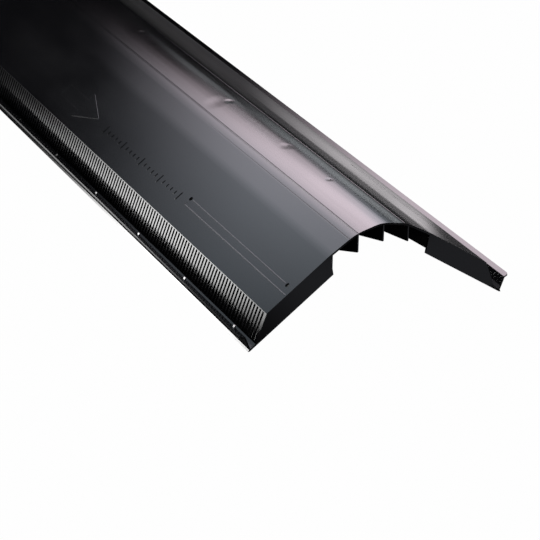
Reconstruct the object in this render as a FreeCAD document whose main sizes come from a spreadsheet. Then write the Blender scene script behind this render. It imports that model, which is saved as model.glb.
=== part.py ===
"""Ridge vent: one black moulded strip that caps the open ridge of a shingle roof.

The frame: X runs along the ridge, Y across it, Z up. The origin is on the floor, midway along
the vent and midway between its two feet. All sizes are in millimetres and degrees.
"""

import FreeCAD
import Part
import Sketcher

import os

NODE = "ridge_vent"

doc = FreeCAD.newDocument("RidgeVent")

# Driving dimensions
SIZES = {
    "vent_length": 1219.2,  # four feet, as the strips are sold
    # the bent top sheet, from the ridge outwards
    "crown_width": 24.0,
    "crown_slope": 12.0,
    "shoulder_width": 27.5,
    "shoulder_slope": 31.0,
    "wing_width": 69.4,
    "wing_slope": 35.0,
    "sheet_wall": 1.8,
    "ridge_radius": 28.0,
    "crease_radius": 48.0,
    "shoulder_radius": 100.0,
    "hinge_slope": 19.4,  # the slope of the sheet where its hinge line runs
    "hinge_width": 0.7,
    "hinge_cut": 0.5,
    # the slatted side, measured in the plane of the wing
    "deck_depth": 17.0,
    "grille_run": 25.0,
    "grille_wall": 1.8,
    "slot_width": 2.7,
    "slot_pitch": 4.935,
    "slot_start": 0.6,
    "slot_margin": 2.2,
    # the gutter and the wind baffle outside the slats
    "gutter_width": 5.0,
    "gutter_floor": 1.6,
    "baffle_height": 13.6,
    "baffle_lean": 21.0,
    "baffle_wall": 1.4,
    "lip_width": 4.2,
    "lip_slope": 17.0,
    "lip_corner": 3.2,
    "toe_width": 1.6,
    "toe_height": 1.7,
    # the small lugs in a row on the left lip
    "lug_end": 19.0,
    "lug_pitch": 93.5,
    "lug_count": 13,
    "lug_length": 2.4,
    "lug_run": 2.0,
    "lug_rise": 1.5,
    "lug_lean": 30.0,
    # the closed ends
    "end_wall": 2.0,
    "end_foot": 7.4,
    "fin_wall": 1.6,
    "fin_drop": 17.2,
    "fin_turn": 25.0,
    "fin_reach": 28.0,
    "fin_offset": 2.3,  # how far past its fold each fin starts
    # the nail holes on each wing
    "nail_hole": 4.0,
    "nail_inset": 41.0,
    "nail_end": 9.2,
    "nail_span": 180.0,
}
NEAR = 0.01  # edges are known by their middles to within this
CLEAR = 2  # walls that a cut reaches past a face

sheet = doc.addObject("Spreadsheet::Sheet", "Sizes")
for row, (alias, value) in enumerate(SIZES.items(), start=1):
    sheet.set(f"A{row}", alias)
    sheet.set(f"B{row}", str(value))
    sheet.setAlias(f"B{row}", alias)
doc.recompute()

body = doc.addObject("PartDesign::Body", "Vent")
datums = {datum.Role: datum for datum in body.Origin.OriginFeatures}


def value_of(expression):
    """The number that an expression on the sheet's sizes comes to."""
    return float(sheet.evalExpression(expression))


def drive(item, **expressions):
    """Bind properties of an object to expressions on the sheet."""
    for name, expression in expressions.items():
        item.setExpression(name.replace("__", "."), expression)


def sketch_on(plane, name, turn_axis=FreeCAD.Vector(0, 0, 1), **offset):
    """A sketch on an origin plane of the body, shifted and turned by expressions."""
    sketch = body.newObject("Sketcher::SketchObject", name)
    sketch.AttachmentSupport = (datums[plane], [""])
    sketch.MapMode = "FlatFace"
    sketch.AttachmentOffset = FreeCAD.Placement(FreeCAD.Vector(), FreeCAD.Rotation(turn_axis, 1))
    drive(sketch, AttachmentOffset__Rotation__Angle=offset.pop("turn", "0"))
    for axis, expression in offset.items():
        sketch.setExpression(f"AttachmentOffset.Base.{axis}", expression)
    return sketch


def arc_between(start, end, radius):
    """An arc that bulges upwards from one point to another."""
    right, left = sorted((start, end), key=lambda point: point.x, reverse=True)
    chord = left - right
    bulge = radius - (radius ** 2 - (chord.Length / 2) ** 2) ** 0.5
    outwards = FreeCAD.Vector(chord.y, -chord.x, 0).normalize()
    return Part.Arc(right, (right + left) / 2 + outwards * bulge, left)


def polygon(sketch, corners):
    """A closed outline, each corner placed by a pair of expressions.

    A third expression is the radius of the arc from that corner to the next.
    """
    points = [FreeCAD.Vector(value_of(corner[0]), value_of(corner[1]), 0) for corner in corners]
    ends = []
    for number, corner in enumerate(corners):
        start = points[number]
        end = points[(number + 1) % len(points)]
        if len(corner) == 2:
            sketch.addGeometry(Part.LineSegment(start, end))
            ends.append((1, 2))
        else:
            radius = value_of(corner[2])
            sketch.addGeometry(arc_between(start, end, radius))
            ends.append((1, 2) if start.x > end.x else (2, 1))
            index = sketch.addConstraint(Sketcher.Constraint("Radius", number, radius))
            sketch.setExpression(f"Constraints[{index}]", corner[2])
    for number, corner in enumerate(corners):
        following = (number + 1) % len(corners)
        sketch.addConstraint(
            Sketcher.Constraint("Coincident", number, ends[number][1], following, ends[following][0])
        )
        for kind, expression, value in (
            ("DistanceX", corner[0], points[number].x),
            ("DistanceY", corner[1], points[number].y),
        ):
            index = sketch.addConstraint(
                Sketcher.Constraint(kind, -1, 1, number, ends[number][0], value)
            )
            sketch.setExpression(f"Constraints[{index}]", expression)
    return sketch


def padded(sketch, name, length):
    """A pad that runs equally to both sides of its sketch."""
    pad = body.newObject("PartDesign::Pad", name)
    pad.Profile = sketch
    pad.SideType = "Symmetric"
    drive(pad, Length=length)
    return pad


def pocketed(sketch, name, length):
    """A cut that runs equally to both sides of its sketch."""
    pocket = body.newObject("PartDesign::Pocket", name)
    pocket.Profile = sketch
    pocket.SideType = "Symmetric"
    drive(pocket, Length=length)
    return pocket


def rounded(name, radius, along, across, up):
    """A rounding of the edges with their middles at a place, on both wings and at both ends."""
    before = body.Tip
    place = [value_of(expression) for expression in (along, across, up)]
    edges = []
    for number, edge in enumerate(before.Shape.Edges, start=1):
        middle = edge.CenterOfMass
        miss = (abs(middle.x) - place[0], abs(middle.y) - place[1], middle.z - place[2])
        if max(abs(way) for way in miss) < NEAR:
            edges.append(f"Edge{number}")
    rounding = body.newObject("PartDesign::Fillet", name)
    rounding.Base = (before, edges)
    drive(rounding, Radius=radius)
    body.Tip = rounding
    doc.recompute()


def mirror_step(name, plane):
    """A mirror image across an origin plane, as a step of a repeat."""
    mirror = body.newObject("PartDesign::Mirrored", name)
    mirror.MirrorPlane = (datums[plane], [""])
    return mirror


def row_step(name, count, pitch):
    """A row towards the far end, as a step of a repeat."""
    row_of = body.newObject("PartDesign::LinearPattern", name)
    row_of.Direction = (datums["X_Axis"], [""])
    row_of.Reversed = True
    row_of.Mode = "Spacing"
    drive(row_of, Occurrences=count, Offset=pitch)
    return row_of


def repeat(name, originals, steps):
    """The originals, repeated by the steps in turn."""
    repeated = body.newObject("PartDesign::MultiTransform", name)
    repeated.Originals = originals
    repeated.Transformations = steps
    body.Tip = repeated
    doc.recompute()
    return repeated


def downhill(point, length, slope):
    """The point that lies a length further out down a slope."""
    across, up = point
    return f"{across} + {length} * cos({slope})", f"{up} - {length} * sin({slope})"


def mitre(point, slope_in, slope_out, wall):
    """The point under a fold of the sheet, a wall's thickness inside both its faces."""
    across, up = point
    tilt = f"(({slope_in} + {slope_out}) / 2)"
    reach = f"{wall} / cos(({slope_out} - {slope_in}) / 2)"
    return f"{across} - {reach} * sin{tilt}", f"{up} - {reach} * cos{tilt}"


def midway(point, other):
    """The point halfway between two others."""
    return tuple(f"({one} + {two}) / 2" for one, two in zip(point, other))


def off_eave(along, below):
    """The point at distances down the slope past the eave and square below the wing."""
    across, up = EAVE
    return (
        f"{across} + ({along}) * cos(Sizes.wing_slope) - ({below}) * sin(Sizes.wing_slope)",
        f"{up} - ({along}) * sin(Sizes.wing_slope) - ({below}) * cos(Sizes.wing_slope)",
    )


# The folds of the top sheet, on the right-hand half
RIDGE = (
    "0",
    "(Sizes.crown_width * sin(Sizes.crown_slope) + Sizes.shoulder_width * sin(Sizes.shoulder_slope)"
    " + (Sizes.wing_width + Sizes.grille_run + Sizes.gutter_width) * sin(Sizes.wing_slope)"
    " + Sizes.deck_depth * cos(Sizes.wing_slope))",
)
CREASE = downhill(RIDGE, "Sizes.crown_width", "Sizes.crown_slope")
SHOULDER = downhill(CREASE, "Sizes.shoulder_width", "Sizes.shoulder_slope")
EAVE = downhill(SHOULDER, "Sizes.wing_width", "Sizes.wing_slope")

BENDS = {
    "Ridge": (RIDGE, "(0 - Sizes.crown_slope)", "Sizes.crown_slope", "Sizes.ridge_radius"),
    "Crease": (CREASE, "Sizes.crown_slope", "Sizes.shoulder_slope", "Sizes.crease_radius"),
    "Shoulder": (SHOULDER, "Sizes.shoulder_slope", "Sizes.wing_slope", "Sizes.shoulder_radius"),
}

# The top of the sheet and its underside, with every fold rounded about one centre
top_of_sheet = []
under_sheet = []
for fold, slope_in, slope_out, radius in BENDS.values():
    half_turn = f"(({slope_out} - {slope_in}) / 2)"
    inwards = downhill(fold, f"(0 - {radius} * tan{half_turn})", slope_in)
    outwards = downhill(fold, f"({radius} * tan{half_turn})", slope_out)
    if fold == RIDGE:
        slope_in = "0"
        inwards = (RIDGE[0], f"{RIDGE[1]} - {radius} * (1 / cos{half_turn} - 1)")
    under_out = mitre(outwards, slope_out, slope_out, "Sizes.sheet_wall")
    under_in = mitre(inwards, slope_in, slope_in, "Sizes.sheet_wall")
    top_of_sheet += [(*inwards, radius), outwards]
    under_sheet = [(*under_out, f"{radius} - Sizes.sheet_wall"), under_in] + under_sheet

# The section of the sheet, grille, gutter and baffle
GRILLE_LENGTH = "sqrt(Sizes.grille_run ^ 2 + Sizes.deck_depth ^ 2)"
GRILLE_SHIFT = f"(Sizes.grille_wall * {GRILLE_LENGTH} / Sizes.deck_depth)"
BAFFLE_UP = "(Sizes.baffle_lean - 90)"
BAFFLE_TILT = "(Sizes.baffle_lean - Sizes.wing_slope)"
FLOOR_BELOW = "(Sizes.deck_depth - Sizes.gutter_floor)"
FLOOR_START = f"(Sizes.grille_run * {FLOOR_BELOW} / Sizes.deck_depth)"
FLOOR_END = (
    "(Sizes.grille_run + Sizes.gutter_width"
    f" - Sizes.baffle_wall / cos({BAFFLE_TILT}) + Sizes.gutter_floor * tan({BAFFLE_TILT}))"
)
foot = off_eave("Sizes.grille_run + Sizes.gutter_width", "Sizes.deck_depth")
rim = downhill(foot, "Sizes.baffle_height", BAFFLE_UP)
lip_under = downhill(rim, "Sizes.lip_width", "(0 - Sizes.lip_slope)")
lip_over = mitre(lip_under, "(0 - Sizes.lip_slope)", "(0 - Sizes.lip_slope)", "(0 - Sizes.baffle_wall)")
rim_inside = mitre(rim, BAFFLE_UP, "(0 - Sizes.lip_slope)", "(0 - Sizes.baffle_wall)")
half_outline = top_of_sheet + [
    EAVE,
    off_eave(FLOOR_START, FLOOR_BELOW),
    off_eave(FLOOR_END, FLOOR_BELOW),
    rim_inside,
    lip_over,
    lip_under,
    rim,
    downhill(foot, "Sizes.toe_height", BAFFLE_UP),
    (f"{foot[0]} + Sizes.toe_width", foot[1]),
    foot,
    off_eave(f"Sizes.grille_run - {GRILLE_SHIFT}", "Sizes.deck_depth"),
    off_eave(
        f"Sizes.grille_run * Sizes.sheet_wall / Sizes.deck_depth - {GRILLE_SHIFT}",
        "Sizes.sheet_wall",
    ),
] + under_sheet
section = polygon(sketch_on("YZ_Plane", "Section"), half_outline)
half = padded(section, "HalfVent", "Sizes.vent_length")
repeat("WholeVent", [half], [mirror_step("OtherHalf", "XZ_Plane")])

# The rounded corners of the lips
rounded("LipCorners", "Sizes.lip_corner", "Sizes.vent_length / 2", *midway(lip_over, lip_under))

# The hinge line along each crease, where the strip folds to the slope of its roof
crease_centre = mitre(*BENDS["Crease"])
hinge_sketch = polygon(
    sketch_on(
        "YZ_Plane",
        "HingeOutline",
        x=crease_centre[0],
        y=crease_centre[1],
        turn="0 - Sizes.hinge_slope",
    ),
    [
        ("Sizes.hinge_width / 2", "Sizes.crease_radius - Sizes.hinge_cut"),
        ("Sizes.hinge_width / 2", "Sizes.crease_radius + Sizes.hinge_cut"),
        ("0 - Sizes.hinge_width / 2", "Sizes.crease_radius + Sizes.hinge_cut"),
        ("0 - Sizes.hinge_width / 2", "Sizes.crease_radius - Sizes.hinge_cut"),
    ],
)
hinge = pocketed(hinge_sketch, "Hinge", "Sizes.vent_length")
repeat("Hinges", [hinge], [mirror_step("OtherHinge", "XZ_Plane")])

# The walls that close both wings at both ends
WALL_TOP = "0 - Sizes.sheet_wall / 2"
WALL_OUT = "Sizes.wing_width + Sizes.grille_run"
wall_sketch = polygon(
    sketch_on(
        "YZ_Plane",
        "EndWallOutline",
        x=SHOULDER[0],
        y=SHOULDER[1],
        z="(Sizes.vent_length - Sizes.end_wall) / 2",
        turn="0 - Sizes.wing_slope",
    ),
    [
        ("0", WALL_TOP),
        (f"Sizes.wing_width - {GRILLE_SHIFT} / 2", WALL_TOP),
        (f"{WALL_OUT} - {GRILLE_SHIFT} / 2", "0 - Sizes.deck_depth"),
        ("Sizes.end_foot", "0 - Sizes.deck_depth"),
    ],
)
wall = padded(wall_sketch, "EndWall", "Sizes.end_wall")
repeat(
    "EndWalls",
    [wall],
    [mirror_step("OtherWing", "XZ_Plane"), mirror_step("OtherEnd", "YZ_Plane")],
)

# The lugs in a row along the left lip
lug_inside = (rim_inside[0], f"{rim_inside[1]} - Sizes.baffle_wall / 2")
lug_outside = downhill(lug_inside, "Sizes.lug_run", "(0 - Sizes.lip_slope)")
LUG_HEIGHT = "(Sizes.baffle_wall / 2 + Sizes.lug_rise)"
lug_top = (
    f"{lug_outside[0]} - {LUG_HEIGHT} * tan(Sizes.lug_lean)",
    f"{lug_outside[1]} + {LUG_HEIGHT}",
)
lug_corners = [lug_inside, lug_outside, lug_top, (lug_inside[0], lug_top[1])]
lug_sketch = polygon(
    sketch_on("YZ_Plane", "LugOutline", z="Sizes.vent_length / 2 - Sizes.lug_end"),
    [(f"0 - ({across})", up) for across, up in lug_corners],
)
lug = padded(lug_sketch, "Lug", "Sizes.lug_length")
repeat("Lugs", [lug], [row_step("LugRow", "Sizes.lug_count", "Sizes.lug_pitch")])

# The slanting fins under the folds at both ends
FINS = {
    "RightWing": ("Shoulder", "1", "tan(Sizes.wing_slope)", "tan(Sizes.shoulder_slope)"),
    "RightFold": ("Crease", "1", "tan(Sizes.shoulder_slope)", "tan(Sizes.crown_slope)"),
    "Ridge": ("Ridge", "1", "tan(Sizes.crown_slope)", "0 - tan(Sizes.crown_slope)"),
    "LeftFold": ("Crease", "-1", "0 - tan(Sizes.crown_slope)", "0 - tan(Sizes.shoulder_slope)"),
    "LeftWing": ("Shoulder", "-1", "0 - tan(Sizes.shoulder_slope)", "0 - tan(Sizes.wing_slope)"),
}
FIN_FOLD = "Sizes.fin_offset / sin(Sizes.fin_turn)"
fins = []
for name, (bend, side, rise_before, rise_after) in FINS.items():
    (across, up), slope_in, slope_out, radius = BENDS[bend]
    fin_top = f"({radius} * (1 / cos(({slope_out} - {slope_in}) / 2) - 1) + Sizes.sheet_wall / 2)"
    near_up = f"(0 - Sizes.fin_offset * ({rise_before}))"
    far_up = f"(Sizes.fin_reach * sin(Sizes.fin_turn) - Sizes.fin_offset) * ({rise_after})"
    fin_sketch = polygon(
        sketch_on(
            "XZ_Plane",
            f"{name}FinOutline",
            turn_axis=FreeCAD.Vector(0, 1, 0),
            x="Sizes.vent_length / 2 - Sizes.fin_wall / 2 * sin(Sizes.fin_turn)",
            y=up,
            z=f"0 - {side} * ({across}) - Sizes.fin_offset",
            turn="180 + Sizes.fin_turn",
        ),
        [
            ("0", f"{near_up} - {fin_top}"),
            (FIN_FOLD, f"0 - {fin_top}"),
            ("Sizes.fin_reach", f"{far_up} - {fin_top}"),
            ("Sizes.fin_reach", f"{far_up} - Sizes.fin_drop"),
            ("0", "0 - Sizes.fin_drop"),
        ],
    )
    fins.append(padded(fin_sketch, f"{name}Fin", "Sizes.fin_wall"))
both_ends = body.newObject("PartDesign::PolarPattern", "FinsAtBothEnds")
both_ends.Originals = fins
both_ends.Axis = (datums["Z_Axis"], [""])
both_ends.Angle = 360
both_ends.Occurrences = 2
body.Tip = both_ends
doc.recompute()

# The nail holes, two near each end of each wing
nail_sketch = sketch_on(
    "XY_Plane",
    "NailHoles",
    turn_axis=FreeCAD.Vector(1, 0, 0),
    y=SHOULDER[0],
    z=SHOULDER[1],
    turn="0 - Sizes.wing_slope",
)
END_HOLE = "Sizes.vent_length / 2 - Sizes.nail_end"
for number, along in enumerate(
    (END_HOLE, f"{END_HOLE} - Sizes.nail_span", f"Sizes.nail_span - ({END_HOLE})", f"0 - ({END_HOLE})")
):
    centre = FreeCAD.Vector(value_of(along), value_of("Sizes.nail_inset"), 0)
    radius = value_of("Sizes.nail_hole / 2")
    nail_sketch.addGeometry(Part.Circle(centre, FreeCAD.Vector(0, 0, 1), radius))
    for constraint, expression in (
        (Sketcher.Constraint("Diameter", number, 2 * radius), "Sizes.nail_hole"),
        (Sketcher.Constraint("DistanceX", -1, 1, number, 3, centre.x), along),
        (Sketcher.Constraint("DistanceY", -1, 1, number, 3, centre.y), "Sizes.nail_inset"),
    ):
        nail_sketch.setExpression(f"Constraints[{nail_sketch.addConstraint(constraint)}]", expression)
nails = pocketed(nail_sketch, "NailHolesThrough", f"2 * {CLEAR} * Sizes.sheet_wall")
repeat("NailHolesOnBothWings", [nails], [mirror_step("OtherNailHoles", "XZ_Plane")])

# The slots of both grilles
SLOT_COUNT = "(2 * floor((Sizes.vent_length - 2 * Sizes.end_wall) / Sizes.slot_pitch / 2))"
SLOT_END = f"{GRILLE_LENGTH} - Sizes.slot_margin - Sizes.gutter_floor"
slot_sketch = polygon(
    sketch_on(
        "YZ_Plane",
        "SlotOutline",
        x=EAVE[0],
        y=EAVE[1],
        z=f"({SLOT_COUNT} - 1) / 2 * Sizes.slot_pitch",
        turn="0 - Sizes.wing_slope - atan(Sizes.deck_depth / Sizes.grille_run) / 1 deg",
    ),
    [
        ("Sizes.slot_start", "Sizes.grille_wall"),
        (SLOT_END, "Sizes.grille_wall"),
        (SLOT_END, f"0 - {CLEAR} * Sizes.grille_wall"),
        ("Sizes.slot_start", f"0 - {CLEAR} * Sizes.grille_wall"),
    ],
)
slot = pocketed(slot_sketch, "Slot", "Sizes.slot_width")
repeat(
    "Slots",
    [slot],
    [row_step("SlotRow", SLOT_COUNT, "Sizes.slot_pitch"), mirror_step("OtherGrille", "XZ_Plane")],
)

body.Label = NODE
doc.recompute()

for item in doc.Objects:
    if "Invalid" in item.State or "Error" in item.State:
        raise SystemExit(f"{item.Name} did not compute: {item.State}")
shape = body.Shape
if shape.isNull() or not shape.isValid() or len(shape.Solids) != 1:
    raise SystemExit(f"{NODE} is not one sound solid")
os.makedirs("parts", exist_ok=True)
shape.exportStep(f"parts/{NODE}.step")
box = shape.BoundBox
print(f"{NODE}: {box.XLength:.1f} x {box.YLength:.1f} x {box.ZLength:.1f} mm, {shape.Volume / 1000:.0f} cm3")
print(f"z from {box.ZMin:.3f}, y from {box.YMin:.2f}, faces {len(shape.Faces)}")
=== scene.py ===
import math

import bpy
from mathutils import Matrix, Vector


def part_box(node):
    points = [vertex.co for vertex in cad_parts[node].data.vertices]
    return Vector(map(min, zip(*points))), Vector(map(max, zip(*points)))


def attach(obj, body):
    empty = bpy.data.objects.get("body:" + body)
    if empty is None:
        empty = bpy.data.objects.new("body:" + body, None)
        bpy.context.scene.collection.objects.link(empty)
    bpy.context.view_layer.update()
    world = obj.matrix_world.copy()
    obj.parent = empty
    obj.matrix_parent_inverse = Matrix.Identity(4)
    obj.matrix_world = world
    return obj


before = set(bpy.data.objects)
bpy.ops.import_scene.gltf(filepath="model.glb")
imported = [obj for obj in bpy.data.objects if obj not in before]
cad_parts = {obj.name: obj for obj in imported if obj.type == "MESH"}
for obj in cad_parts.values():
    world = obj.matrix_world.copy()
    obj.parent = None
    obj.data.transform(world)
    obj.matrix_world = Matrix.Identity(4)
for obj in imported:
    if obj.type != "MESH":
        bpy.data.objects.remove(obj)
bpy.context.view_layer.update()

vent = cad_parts["ridge_vent"]
ventLow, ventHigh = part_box("ridge_vent")
nearEnd = ventHigh.x
print("frame loaded, vent from", tuple(ventLow), "to", tuple(ventHigh))

bpy.ops.object.select_all(action="DESELECT")


# the studio: a pale floor, soft boxes and the camera
studio = {
    "floorSide": 14.0,
    "floorColor": (0.03, 0.03, 0.03, 1.0),
    "floorRoughness": 0.9,
    "floorGlow": 0.99,  # how white the floor looks from the camera by itself
    "shadeWidth": 0.118,  # painted shade: the floor under the vent is darkened, each way from the ridge
    "shadeEdge": -0.117,  # where that shade starts at the near end
    "shadeSlant": 1.1,  # how far across it moves per metre along
    "shadeSoft": 0.02,  # how soft its edge is on the left, and how much softer to the right
    "shadeSofter": 1.5,
    "airColor": (0.85, 0.92, 1.0, 1.0),
    "airStrength": 0.005,
}

white = (1.0, 1.0, 1.0)
coolWhite = (0.9, 0.95, 1.0)

# each soft box: where it stands, what it faces, its sides in metres, how bright it is, its colour
# at its faded sides and in full, and how much of it fades at its own left, right, bottom and top
softBoxes = {
    "backBox": {
        "at": (-0.38, 0.05, 0.79),
        "aim": (0.5, 0.05, 0.79),
        "sides": (1.6, 0.88),
        "glow": 6.9,
        "colors": ((0.72, 0.88, 1.0), (1.0, 0.86, 0.95)),
        "fades": (0.25, 0.66, 0.42, 0.02),
    },
    "lowBox": {
        "at": (-0.38, 0.7, 0.31),
        "aim": (0.5, 0.7, 0.31),
        "sides": (0.5, 0.38),
        "glow": 2.2,
        "colors": (coolWhite, coolWhite),
        "fades": (0.3, 0.3, 0.75, 0.25),
    },
    "sideBox": {
        "at": (-0.15, -0.555, 0.175),
        "aim": (0.37, 0.298, 0.175),
        "sides": (0.44, 0.35),
        "glow": 24.0,
        "colors": (white, white),
        "fades": (0.55, 0.4, 0.02, 0.4),
    },
    "crownBox": {
        "at": (-0.38, 0.435, 0.46),
        "aim": (0.5, 0.435, 0.46),
        "sides": (0.37, 0.48),
        "glow": 2.4,
        "colors": (coolWhite, coolWhite),
        "fades": (0.4, 0.3, 0.6, 0.3),
    },
    "endFill": {
        "at": (0.672, 0.06, 0.004),
        "aim": (0.672, 0.06, 1.0),
        "sides": (0.12, 0.36),
        "glow": 0.24,
        "colors": ((0.85, 0.88, 1.0), (0.85, 0.88, 1.0)),
        "fades": (0.05, 0.05, 0.3, 0.3),
    },
    "barFill": {
        "at": (0.18, -0.26, 0.004),
        "aim": (0.18, -0.26, 1.0),
        "sides": (0.66, 0.22),
        "glow": 8.5,
        "colors": (white, white),
        "fades": (0.35, 0.6, 0.2, 0.2),
    },
    "rightBox": {
        "at": (-0.1, 1.5, 0.75),
        "aim": (-0.1, 0.0, 0.1),
        "sides": (2.4, 0.9),
        "glow": 1.3,
        "colors": (coolWhite, white),
        "fades": (0.3, 0.3, 0.3, 0.3),
    },
    "leftBox": {
        "at": (-0.1, -1.5, 0.75),
        "aim": (-0.1, 0.0, 0.1),
        "sides": (2.4, 0.9),
        "glow": 3.0,
        "colors": (coolWhite, white),
        "fades": (0.3, 0.3, 0.3, 0.3),
    },
    "overBox": {
        "at": (0.2, 0.0, 1.9),
        "aim": (0.2, 0.0, 0.0),
        "sides": (1.6, 1.0),
        "glow": 1.3,
        "colors": (coolWhite, white),
        "fades": (0.35, 0.35, 0.35, 0.35),
    },
    "frontBox": {
        "at": (1.9, 0.1, 1.4),
        "aim": (0.0, 0.0, 0.1),
        "sides": (2.6, 1.9),
        "glow": 3.4,
        "colors": (coolWhite, white),
        "fades": (0.3, 0.3, 0.3, 0.3),
    },
    "farBox": {
        "at": (-1.6, 0.05, 0.45),
        "aim": (0.0, 0.05, 0.45),
        "sides": (0.6, 0.5),
        "glow": 1.2,
        "colors": (coolWhite, white),
        "fades": (0.3, 0.3, 0.3, 0.3),
    },
    "floorFill": {
        "at": (0.275, 0.167, 0.012),
        "aim": (0.275, 0.167, 1.0),
        "sides": (0.42, 0.066),
        "glow": 0.95,
        "colors": ((1.0, 0.95, 0.98), (1.0, 0.95, 0.98)),
        "fades": (0.1, 0.7, 0.3, 0.3),
    },
}

photoCamera = {
    "lens": 145.07,
    "sensor": 36.0,
    "fromNearEnd": (1.3585, -0.8157, 0.8594),  # from the floor under the ridge's near end, metres
    "turn": (62.78, -0.75, 62.65),  # degrees about X, Y and Z
}


def plainMaterial(name, color, roughness):
    material = bpy.data.materials.new(name)
    material.use_nodes = True
    shader = material.node_tree.nodes["Principled BSDF"]
    shader.inputs["Base Color"].default_value = color
    shader.inputs["Roughness"].default_value = roughness
    return material


def mathNode(tree, operation, first, second):
    node = tree.nodes.new("ShaderNodeMath")
    node.operation = operation
    for number, value in enumerate((first, second)):
        if isinstance(value, (int, float)):
            node.inputs[number].default_value = value
        else:
            tree.links.new(value, node.inputs[number])
    return node.outputs[0]


def paleFloor():
    material = plainMaterial("paleFloor", studio["floorColor"], studio["floorRoughness"])
    tree = material.node_tree
    place = tree.nodes.new("ShaderNodeTexCoord")
    axes = tree.nodes.new("ShaderNodeSeparateXYZ")
    tree.links.new(place.outputs["Object"], axes.inputs[0])
    along, across = axes.outputs["X"], axes.outputs["Y"]
    # painted shade: the floor's own glow to the camera is cut back under the vent, so that patch looks
    # shaded
    endGap = mathNode(tree, "SUBTRACT", nearEnd, along)
    slant = mathNode(tree, "MULTIPLY", endGap, studio["shadeSlant"])
    edge = mathNode(tree, "ADD", slant, studio["shadeEdge"])
    softer = mathNode(tree, "MULTIPLY", mathNode(tree, "MAXIMUM", across, 0), studio["shadeSofter"])
    inside = tree.nodes.new("ShaderNodeMapRange")
    inside.interpolation_type = "SMOOTHSTEP"
    tree.links.new(mathNode(tree, "SUBTRACT", edge, across), inside.inputs["Value"])
    tree.links.new(mathNode(tree, "ADD", softer, studio["shadeSoft"]), inside.inputs["From Max"])
    width = mathNode(tree, "LESS_THAN", mathNode(tree, "ABSOLUTE", across, 0), studio["shadeWidth"])
    length = mathNode(tree, "LESS_THAN", mathNode(tree, "ABSOLUTE", along, 0), nearEnd)
    shade = mathNode(tree, "MULTIPLY", mathNode(tree, "MULTIPLY", width, length), inside.outputs[0])
    unshaded = mathNode(tree, "SUBTRACT", 1, shade)
    seen = tree.nodes.new("ShaderNodeLightPath")
    share = mathNode(tree, "MULTIPLY", seen.outputs["Is Camera Ray"], studio["floorGlow"])
    glow = tree.nodes.new("ShaderNodeEmission")
    mix = tree.nodes.new("ShaderNodeMixShader")
    tree.links.new(mathNode(tree, "MULTIPLY", share, unshaded), mix.inputs[0])
    tree.links.new(tree.nodes["Principled BSDF"].outputs[0], mix.inputs[1])
    tree.links.new(glow.outputs[0], mix.inputs[2])
    tree.links.new(mix.outputs[0], tree.nodes["Material Output"].inputs["Surface"])
    return material


def layFloor():
    bpy.ops.mesh.primitive_plane_add(size=studio["floorSide"], location=(0, 0, 0))
    floor = bpy.context.object
    floor.name = "studioFloor"
    floor.data.materials.append(paleFloor())


def fadeNode(tree, place, start, width):
    ramp = tree.nodes.new("ShaderNodeMapRange")
    ramp.interpolation_type = "SMOOTHSTEP"
    ramp.inputs["From Min"].default_value = start
    ramp.inputs["From Max"].default_value = start + width
    tree.links.new(place, ramp.inputs["Value"])
    return ramp.outputs[0]


def softEdges(lamp, box):
    lamp.use_nodes = True
    tree = lamp.node_tree
    glow = tree.nodes["Emission"]
    surface = tree.nodes.new("ShaderNodeNewGeometry")
    axes = tree.nodes.new("ShaderNodeSeparateXYZ")
    tree.links.new(surface.outputs["Parametric"], axes.inputs[0])
    left, right, bottom, top = box["fades"]
    leftFade = fadeNode(tree, axes.outputs["X"], 0, left)
    rightFade = fadeNode(tree, axes.outputs["X"], 1, -right)
    bottomFade = fadeNode(tree, axes.outputs["Y"], 0, bottom)
    topFade = fadeNode(tree, axes.outputs["Y"], 1, -top)
    sides = mathNode(tree, "MULTIPLY", leftFade, rightFade)
    ends = mathNode(tree, "MULTIPLY", bottomFade, topFade)
    tree.links.new(mathNode(tree, "MULTIPLY", sides, ends), glow.inputs["Strength"])
    tint = tree.nodes.new("ShaderNodeMix")
    tint.data_type = "RGBA"
    tree.links.new(sides, tint.inputs["Factor"])
    colorSockets = [socket for socket in tint.inputs if socket.type == "RGBA"]
    for socket, color in zip(colorSockets, box["colors"]):
        socket.default_value = (*color, 1)
    tintColor = next(socket for socket in tint.outputs if socket.type == "RGBA")
    tree.links.new(tintColor, glow.inputs["Color"])


def hangSoftBoxes():
    for name, box in softBoxes.items():
        bpy.ops.object.light_add(type="AREA", location=box["at"])
        lamp = bpy.context.object
        lamp.name = name
        lamp.visible_camera = False
        wide, high = box["sides"]
        lamp.data.shape = "RECTANGLE"
        lamp.data.size, lamp.data.size_y = wide, high
        lamp.data.energy = box["glow"] * wide * high * math.pi
        toVent = Vector(box["aim"]) - Vector(box["at"])
        lamp.rotation_euler = toVent.to_track_quat("-Z", "Y").to_euler()
        softEdges(lamp.data, box)
    world = bpy.data.worlds.new("studioAir")
    bpy.context.scene.world = world
    world.use_nodes = True
    air = world.node_tree.nodes["Background"]
    air.inputs["Color"].default_value = studio["airColor"]
    air.inputs["Strength"].default_value = studio["airStrength"]


def placeCamera():
    underRidgeEnd = Vector((nearEnd, 0, 0))
    turn = [math.radians(angle) for angle in photoCamera["turn"]]
    bpy.ops.object.camera_add(location=underRidgeEnd + Vector(photoCamera["fromNearEnd"]), rotation=turn)
    camera = bpy.context.object
    camera.data.lens = photoCamera["lens"]
    camera.data.sensor_width = photoCamera["sensor"]
    bpy.context.scene.camera = camera


layFloor()
hangSoftBoxes()
placeCamera()
bpy.context.scene.view_settings.view_transform = "Standard"
print("studio set")


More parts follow.
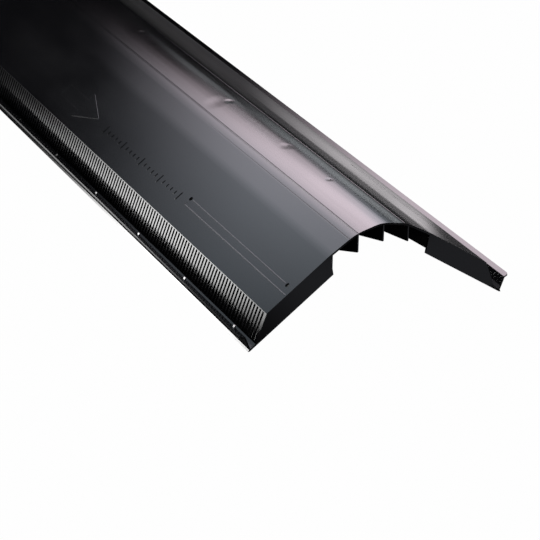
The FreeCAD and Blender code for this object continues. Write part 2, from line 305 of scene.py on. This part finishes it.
# the vent's own plastic: heights of its unevenness in metres
plastic = {
    "colors": ((0.0012, 0.0012, 0.0015, 1.0), (0.0035, 0.0035, 0.0038, 1.0)),
    "roughness": (0.145, 0.2),
    "wave": 0.00016,
    "waveScale": (4.0, 13.0, 13.0),
    "waveDetail": 1,
    "crownRise": 0.0009,  # the crown is rounder than its flat sides
    "crownHalf": 0.0127,
    "grain": 0.0000005,
    "grainScale": (700.0, 700.0, 700.0),
    "grainDetail": 2,
    "smudgeScale": (7.0, 16.0, 16.0),
    "smudgeDetail": 5,
    "smudgeFrom": 0.35,  # where in its noise a smudge starts, and over how much it grows
    "smudgeSpread": 0.4,
    "streakScale": (3.0, 260.0, 260.0),
    "streakDetail": 2,
    "lineAcross": 0.0292,  # a fine dull line along each shoulder
    "lineWidth": 0.0003,
    "lineAbove": 0.079,
    "lineFrom": 0.15,  # it shows towards the ends
    "lineRoughness": 0.3,
}

# the dents along the ridge: distance from the near end, across, radius and depth in metres
dents = (
    (0.281, 0.003, 0.007, 0.0004),
    (0.287, -0.009, 0.014, 0.0002),
    (0.170, 0.003, 0.009, 0.0002),
    (0.093, 0.003, 0.005, 0.0002),
    (0.475, 0.003, 0.005, 0.0003),
)


def noiseNode(tree, place, scale, detail):
    mapping = tree.nodes.new("ShaderNodeMapping")
    mapping.inputs["Scale"].default_value = scale
    tree.links.new(place, mapping.inputs["Vector"])
    noise = tree.nodes.new("ShaderNodeTexNoise")
    noise.inputs["Scale"].default_value = 1
    noise.inputs["Detail"].default_value = detail
    tree.links.new(mapping.outputs[0], noise.inputs["Vector"])
    return noise.outputs["Fac"]


def dentNode(tree, place, fromEnd, across, radius, depth):
    gap = tree.nodes.new("ShaderNodeVectorMath")
    gap.operation = "DISTANCE"
    gap.inputs[1].default_value = (nearEnd - fromEnd, across, ventHigh.z)
    tree.links.new(place, gap.inputs[0])
    return mathNode(tree, "MULTIPLY", fadeNode(tree, gap.outputs["Value"], radius, -radius), -depth)


def blackPlastic():
    material = plainMaterial("blackPlastic", plastic["colors"][0], plastic["roughness"][0])
    tree = material.node_tree
    shader = tree.nodes["Principled BSDF"]
    place = tree.nodes.new("ShaderNodeTexCoord").outputs["Object"]
    smudge = noiseNode(tree, place, plastic["smudgeScale"], plastic["smudgeDetail"])
    smudge = fadeNode(tree, smudge, plastic["smudgeFrom"], plastic["smudgeSpread"])
    streak = noiseNode(tree, place, plastic["streakScale"], plastic["streakDetail"])
    handling = mathNode(tree, "MULTIPLY", smudge, streak)
    tint = tree.nodes.new("ShaderNodeValToRGB")
    for element, color in zip(tint.color_ramp.elements, plastic["colors"]):
        element.color = color
    tree.links.new(handling, tint.inputs[0])
    tree.links.new(tint.outputs["Color"], shader.inputs["Base Color"])
    smooth, dull = plastic["roughness"]
    spread = mathNode(tree, "MULTIPLY", smudge, dull - smooth)
    axes = tree.nodes.new("ShaderNodeSeparateXYZ")
    tree.links.new(place, axes.inputs[0])
    fromRidge = mathNode(tree, "ABSOLUTE", axes.outputs["Y"], 0)
    fromLine = mathNode(tree, "SUBTRACT", fromRidge, plastic["lineAcross"])
    nearLine = mathNode(tree, "LESS_THAN", mathNode(tree, "ABSOLUTE", fromLine, 0), plastic["lineWidth"])
    onTop = mathNode(tree, "GREATER_THAN", axes.outputs["Z"], plastic["lineAbove"])
    fromMiddle = mathNode(tree, "ABSOLUTE", axes.outputs["X"], 0)
    towardsEnd = fadeNode(tree, fromMiddle, plastic["lineFrom"], nearEnd - plastic["lineFrom"])
    line = mathNode(tree, "MULTIPLY", mathNode(tree, "MULTIPLY", nearLine, onTop), towardsEnd)
    line = mathNode(tree, "MULTIPLY", line, plastic["lineRoughness"])
    spread = mathNode(tree, "ADD", spread, line)
    tree.links.new(mathNode(tree, "ADD", spread, smooth), shader.inputs["Roughness"])
    wave = noiseNode(tree, place, plastic["waveScale"], plastic["waveDetail"])
    wave = mathNode(tree, "MULTIPLY", wave, plastic["wave"])
    grain = noiseNode(tree, place, plastic["grainScale"], plastic["grainDetail"])
    grain = mathNode(tree, "MULTIPLY", grain, plastic["grain"])
    height = mathNode(tree, "ADD", wave, grain)
    crown = fadeNode(tree, fromRidge, 0, plastic["crownHalf"])
    height = mathNode(tree, "ADD", height, mathNode(tree, "MULTIPLY", crown, plastic["crownRise"]))
    for dent in dents:
        height = mathNode(tree, "ADD", height, dentNode(tree, place, *dent))
    bump = tree.nodes.new("ShaderNodeBump")
    bump.inputs["Distance"].default_value = 1
    tree.links.new(height, bump.inputs["Height"])
    tree.links.new(bump.outputs[0], shader.inputs["Normal"])
    return material


ventPlastic = blackPlastic()
vent.data.materials.clear()
vent.data.materials.append(ventPlastic)
print("plastic on")

# the sheet that carries the relief: where its wings start, and its slopes, as in the CAD model
sheet = {
    "shoulderY": 0.04705,
    "shoulderZ": 0.07094,
    "wingSlope": 35.0,
    "ridgeRadius": 0.028,
}
leftSide = -1  # the side that the photo shows best
facingUp = 0.9  # a face counts as the top from this much of its normal


def onWing(side, fromEnd, down):
    slope = math.radians(sheet["wingSlope"])
    across = sheet["shoulderY"] + down * math.cos(slope)
    return Vector((nearEnd - fromEnd, side * across, sheet["shoulderZ"] - down * math.sin(slope)))


def moulded(piece, name):
    piece.name = name
    piece.data.materials.clear()
    piece.data.materials.append(ventPlastic)
    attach(piece, "root")
    print(name, "made")


def joined(pieces):
    bpy.ops.object.select_all(action="DESELECT")
    for piece in pieces:
        piece.select_set(True)
    bpy.context.view_layer.objects.active = pieces[0]
    bpy.ops.object.join()
    return bpy.context.object


def selectTop(piece):
    bpy.ops.object.mode_set(mode="EDIT")
    bpy.ops.mesh.select_all(action="DESELECT")
    bpy.ops.object.mode_set(mode="OBJECT")
    for face in piece.data.polygons:
        face.select = face.normal.z > facingUp
    bpy.ops.object.mode_set(mode="EDIT")
    bpy.ops.mesh.select_mode(type="FACE")


# a low bar with a narrowed top, from start to end
def addRib(start, end, outward, rib):
    along = end - start
    bpy.ops.object.select_all(action="DESELECT")
    bpy.ops.mesh.primitive_cube_add(size=1, scale=(along.length, rib["width"], 2 * rib["height"]))
    piece = bpy.context.object
    bpy.ops.object.transform_apply(location=False, rotation=False, scale=True)
    selectTop(piece)
    bpy.ops.transform.resize(value=(1 - rib["width"] / along.length, rib["topShare"], 1))
    bpy.ops.object.mode_set(mode="OBJECT")
    forward = along.normalized()
    sideways = outward.cross(forward).normalized()
    turn = Matrix((forward, sideways, forward.cross(sideways))).transposed().to_4x4()
    piece.data.transform(Matrix.Translation((start + end) / 2) @ turn)
    return piece


def wingOutward(side):
    slope = math.radians(sheet["wingSlope"])
    return Vector((0, side * math.sin(slope), math.cos(slope)))


def placedCopy(piece, place):
    copy = piece.copy()
    copy.data = piece.data.copy()
    copy.data.transform(place)
    bpy.context.collection.objects.link(copy)
    return copy


def otherCorner(piece, mirror):
    copy = placedCopy(piece, Matrix.Diagonal((*mirror, 1)))
    if mirror[0] * mirror[1] < 0:
        copy.data.flip_normals()
    return copy


# the strip between two ribs at each nailing place
nailStrip = {
    "upper": 0.0408,
    "lower": 0.0482,
    "upperFrom": 0.0125,
    "upperTo": 0.186,
    "lowerFrom": 0.001,
    "lowerTo": 0.190,
    "endGap": 0.003,  # from the upper rib to the short rib across the end
    "width": 0.0012,
    "height": 0.00006,
    "topShare": 0.2,
}


def makeNailStrips():
    outward = wingOutward(leftSide)
    upper, lower, stripEnd = nailStrip["upper"], nailStrip["lower"], nailStrip["lowerTo"]
    lines = (
        ((nailStrip["upperFrom"], upper), (nailStrip["upperTo"], upper)),
        ((nailStrip["lowerFrom"], lower), (stripEnd, lower)),
        ((stripEnd, upper + nailStrip["endGap"]), (stripEnd, lower)),
    )
    ribs = [
        addRib(onWing(leftSide, *start), onWing(leftSide, *end), outward, nailStrip)
        for start, end in lines
    ]
    first = joined(ribs)
    moulded(first, "nailStripLeftNear")
    for name, mirror in (
        ("nailStripRightNear", (1, -1, 1)),
        ("nailStripLeftFar", (-1, 1, 1)),
        ("nailStripRightFar", (-1, -1, 1)),
    ):
        moulded(otherCorner(first, mirror), name)


# a plain arrow and a row of plain ticks on the left wing
arrow = {
    "outline": (
        (0.468, 0.036), (0.425, 0.036), (0.425, 0.028), (0.388, 0.043),
        (0.425, 0.058), (0.425, 0.050), (0.468, 0.050),
    ),
    "width": 0.0014,
    "height": 0.00007,
    "topShare": 0.3,
}
ticks = {
    "from": 0.205,
    "to": 0.365,
    "pitch": 0.008,
    "middle": 0.046,
    "short": 0.005,
    "long": 0.010,
    "longEach": 5,
    "width": 0.0012,
    "height": 0.0005,
    "topShare": 0.4,
}


def makeMarkings():
    outward = wingOutward(leftSide)
    corners = [onWing(leftSide, *corner) for corner in arrow["outline"]]
    ribs = [
        addRib(start, end, outward, arrow)
        for start, end in zip(corners, corners[1:] + corners[:1])
    ]
    moulded(joined(ribs), "arrowMark")
    firstTicks = []
    for reach in (ticks["long"], ticks["short"]):
        start = onWing(leftSide, ticks["from"], ticks["middle"] - reach / 2)
        end = onWing(leftSide, ticks["from"], ticks["middle"] + reach / 2)
        firstTicks.append(addRib(start, end, outward, ticks))
    longTick, shortTick = firstTicks
    count = round((ticks["to"] - ticks["from"]) / ticks["pitch"]) + 1
    row = []
    for number in range(count):
        tick = shortTick if number % ticks["longEach"] else longTick
        row.append(placedCopy(tick, Matrix.Translation((-number * ticks["pitch"], 0, 0))))
    for tick in firstTicks:
        bpy.data.objects.remove(tick)
    moulded(joined(row), "tickMarks")


# the fine raised edge beside each hinge line
hingeEdge = {
    "across": 0.0225,
    "above": 0.08476,
    "slope": 20.6,
    "endGap": 0.001,
    "width": 0.0008,
    "height": 0.00013,
    "topShare": 0.1,
}


def makeHingeEdges():
    slope = math.radians(hingeEdge["slope"])
    reach = nearEnd - hingeEdge["endGap"]
    start = Vector((reach, -hingeEdge["across"], hingeEdge["above"]))
    end = Vector((-reach, -hingeEdge["across"], hingeEdge["above"]))
    left = addRib(start, end, Vector((0, -math.sin(slope), math.cos(slope))), hingeEdge)
    moulded(left, "hingeEdgeLeft")
    moulded(otherCorner(left, (1, -1, 1)), "hingeEdgeRight")


# the marks that the mould's gates leave beside the ridge
gateMark = {
    "fromEnd": (0.093, 0.170, 0.281, 0.475),
    "across": 0.005,
    "radius": 0.0017,
    "sides": 28,
    "depth": 0.0012,
    "proud": 0.00013,
    "rim": 0.0004,
    "sunk": 0.0003,
}


def makeGateMarks():
    bpy.ops.object.select_all(action="DESELECT")
    bpy.ops.mesh.primitive_cylinder_add(
        vertices=gateMark["sides"], radius=gateMark["radius"], depth=gateMark["depth"]
    )
    mark = bpy.context.object
    selectTop(mark)
    bpy.ops.mesh.inset(thickness=gateMark["rim"])
    bpy.ops.mesh.inset(thickness=gateMark["rim"] / 2)
    bpy.ops.transform.translate(value=(0, 0, -gateMark["sunk"]))
    bpy.ops.mesh.inset(thickness=gateMark["rim"] / 2)
    bpy.ops.mesh.extrude_region_move(TRANSFORM_OT_translate={"value": (0, 0, gateMark["sunk"] / 2)})
    bpy.ops.object.mode_set(mode="OBJECT")
    lean = math.asin(gateMark["across"] / sheet["ridgeRadius"])
    drop = sheet["ridgeRadius"] * (1 - math.cos(lean))
    middle = ventHigh.z - drop + gateMark["proud"] - gateMark["depth"] / 2
    marks = []
    for fromEnd in gateMark["fromEnd"]:
        place = Matrix.Translation((nearEnd - fromEnd, gateMark["across"], middle))
        marks.append(placedCopy(mark, place @ Matrix.Rotation(-lean, 4, "X")))
    bpy.data.objects.remove(mark)
    moulded(joined(marks), "gateMarks")


makeNailStrips()
makeMarkings()
makeHingeEdges()
makeGateMarks()
